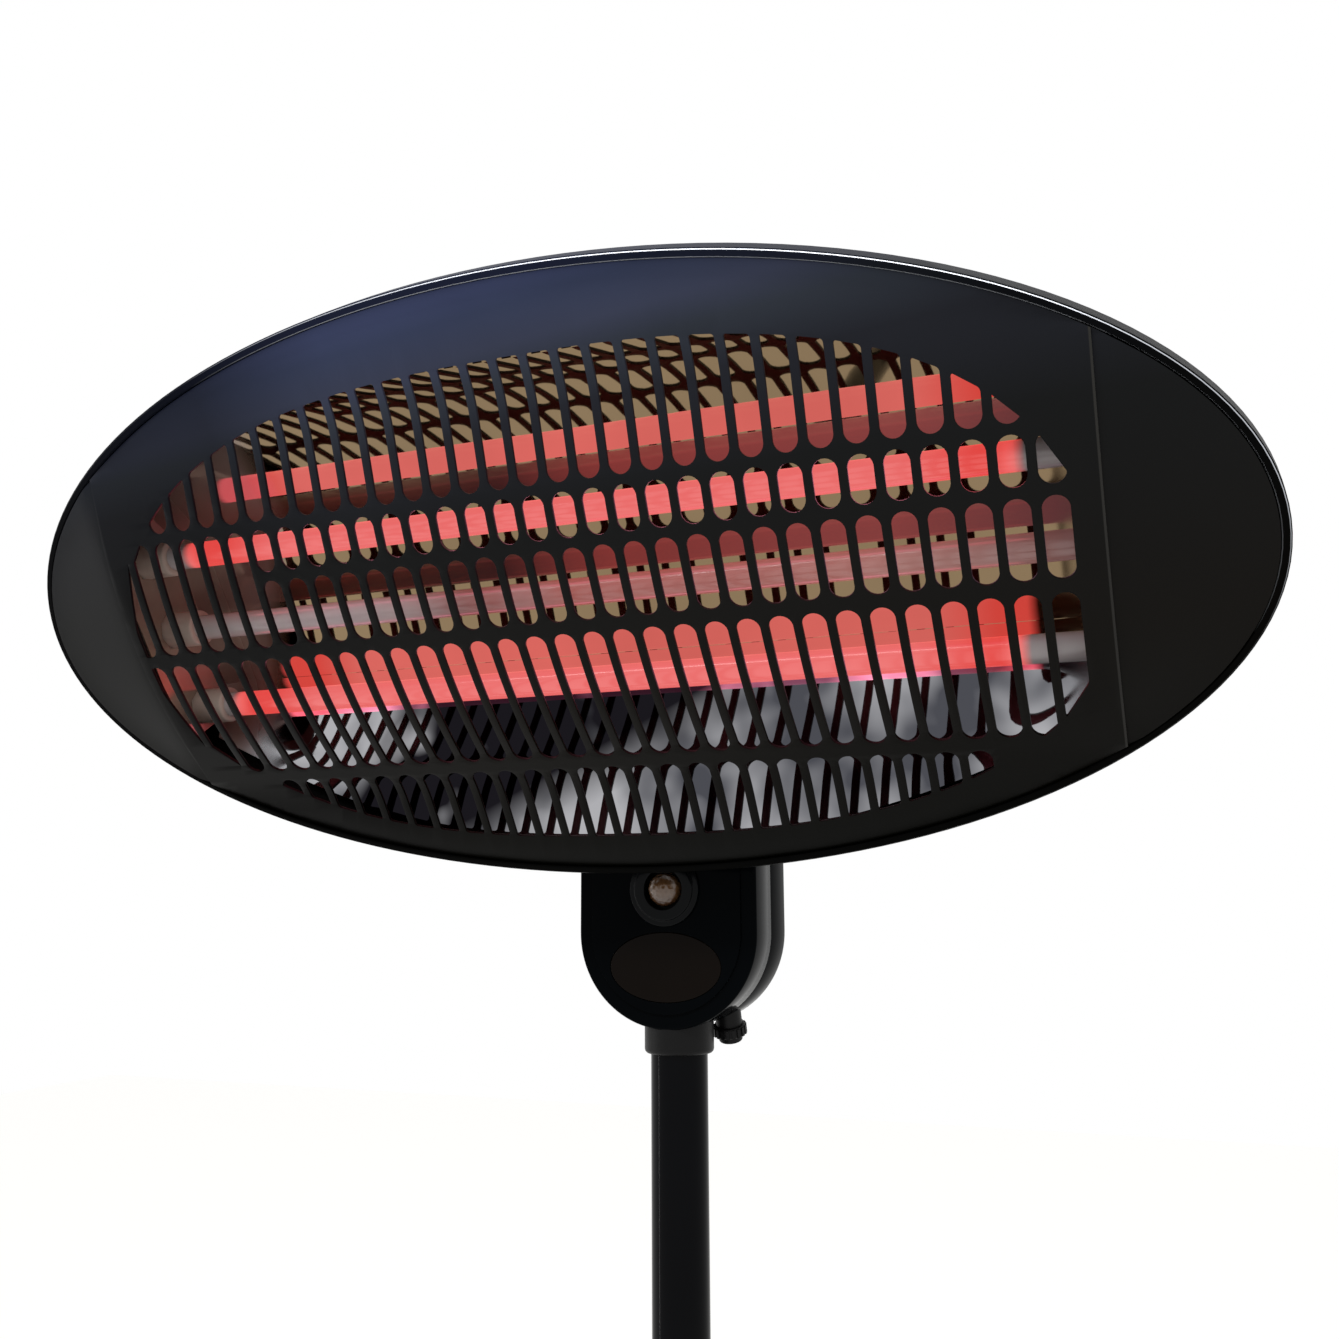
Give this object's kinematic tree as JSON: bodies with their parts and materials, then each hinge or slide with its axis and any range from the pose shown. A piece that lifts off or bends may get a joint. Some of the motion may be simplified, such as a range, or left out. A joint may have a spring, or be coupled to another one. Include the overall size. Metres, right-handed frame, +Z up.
{
  "type": "infrared patio heater tower",
  "caption": "Free-standing radiant patio heater: oval slotted head with quartz tubes on a tilting neck, telescopic round pole and round weighted base.",
  "frame": {"origin": "centre of the base's underside, on the floor and on the pole's axis", "axes": "+Z up along the pole; the heater faces -Y; +X is to its left as it looks out, the right side of the picture"},
  "size_m": [0.51, 0.46, 1.8637],
  "materials": {
    "dark_enamel": "dark satin heat-proof paint",
    "gloss_black_steel": "gloss black paint",
    "weight_steel": "black primer",
    "black_moulding": "fine grained moulding",
    "gloss_black_housing": "gloss moulding",
    "smoked_window": "smooth dark smoked plastic",
    "black_rubber": "matt rubber",
    "nylon": "natural nylon",
    "zinc_steel": "zinc plated",
    "bracket_steel": "black powder coat",
    "bright_reflector": "polished",
    "milky_quartz": "milky quartz",
    "glowing_coil": "glowing red",
    "cold_coil": "dull wire",
    "ceramic": "unglazed",
    "lens_trim": "polished black",
    "amber_lens": "clear amber brown",
    "circuit_board": "lacquered board",
    "matte_black": "matt black"
  },
  "bodies": {
    "base": {"base_plate": "weight_steel", "base_cover": "black_moulding", "base_feet": "black_rubber", "pole_socket": "gloss_black_steel", "socket_bolts": "zinc_steel", "socket_screw": "zinc_steel", "lower_pole": "gloss_black_steel", "pole_bush_top": "nylon", "clamp_collar": "black_moulding"},
    "clamp_knob": {"clamp_screw": "zinc_steel", "height_knob": "black_moulding"},
    "pole": {"upper_pole": "gloss_black_steel", "pole_end_bush": "nylon"},
    "neck": {"neck_shell_front": "gloss_black_housing", "neck_shell_rear": "gloss_black_housing", "neck_screws": "zinc_steel", "cable_gland": "black_moulding", "face_plate": "gloss_black_housing", "lens_ring": "lens_trim", "lens_dome": "amber_lens", "window_oval": "smoked_window", "tilt_lug": "bracket_steel", "friction_washers": "nylon", "neck_collar": "black_moulding", "control_board": "circuit_board", "tip_switch": "matte_black", "switch_bezel": "matte_black"},
    "power_rocker": {"switch_rocker": "matte_black"},
    "head": {"front_panel": "dark_enamel", "end_cap_left": "dark_enamel", "end_cap_right": "dark_enamel", "rear_housing": "dark_enamel", "reflector": "bright_reflector", "reflector_end_left": "bright_reflector", "reflector_end_right": "bright_reflector", "quartz_tube_upper": "milky_quartz", "quartz_tube_middle": "milky_quartz", "quartz_tube_lower": "milky_quartz", "heating_coil_upper": "glowing_coil", "heating_coil_middle": "cold_coil", "heating_coil_lower": "glowing_coil", "tube_cap_upper_left": "ceramic", "tube_cap_upper_right": "ceramic", "tube_cap_middle_left": "ceramic", "tube_cap_middle_right": "ceramic", "tube_cap_lower_left": "ceramic", "tube_cap_lower_right": "ceramic", "cap_retainer_left": "zinc_steel", "cap_retainer_right": "zinc_steel", "terminal_block": "ceramic", "cable_grommet": "black_rubber", "head_bracket": "bracket_steel", "bracket_screws": "zinc_steel", "cover_screws": "zinc_steel", "pivot_bolt": "zinc_steel"},
    "tilt_grip": {"tilt_knob": "black_moulding"}
  },
  "joints": [
    {"name": "height_slide", "type": "slide", "parent": "base", "child": "pole", "axis": [0, 0, 1], "range_m": [-0.15, 0.2]},
    {"name": "clamp_turn", "type": "hinge", "parent": "base", "child": "clamp_knob", "pos_m": [0.05, 0, 1.024], "axis": [1, 0, 0], "range_deg": [0, 540]},
    {"name": "neck_swivel", "type": "hinge", "parent": "pole", "child": "neck", "pos_m": [0, 0, 1.59], "axis": [0, 0, 1], "range_deg": [-90, 90]},
    {"name": "power_switch", "type": "hinge", "parent": "neck", "child": "power_rocker", "pos_m": [0, 0.026, 1.66], "axis": [1, 0, 0], "range_deg": [-14, 0]},
    {"name": "head_tilt", "type": "hinge", "parent": "neck", "child": "head", "pos_m": [0, 0, 1.75], "axis": [1, 0, 0], "range_deg": [-34.5, 10.5]},
    {"name": "tilt_knob_turn", "type": "hinge", "parent": "head", "child": "tilt_grip", "pos_m": [0.03, 0, 1.75], "axis": [1, 0, 0], "range_deg": [0, 540]}
  ]
}
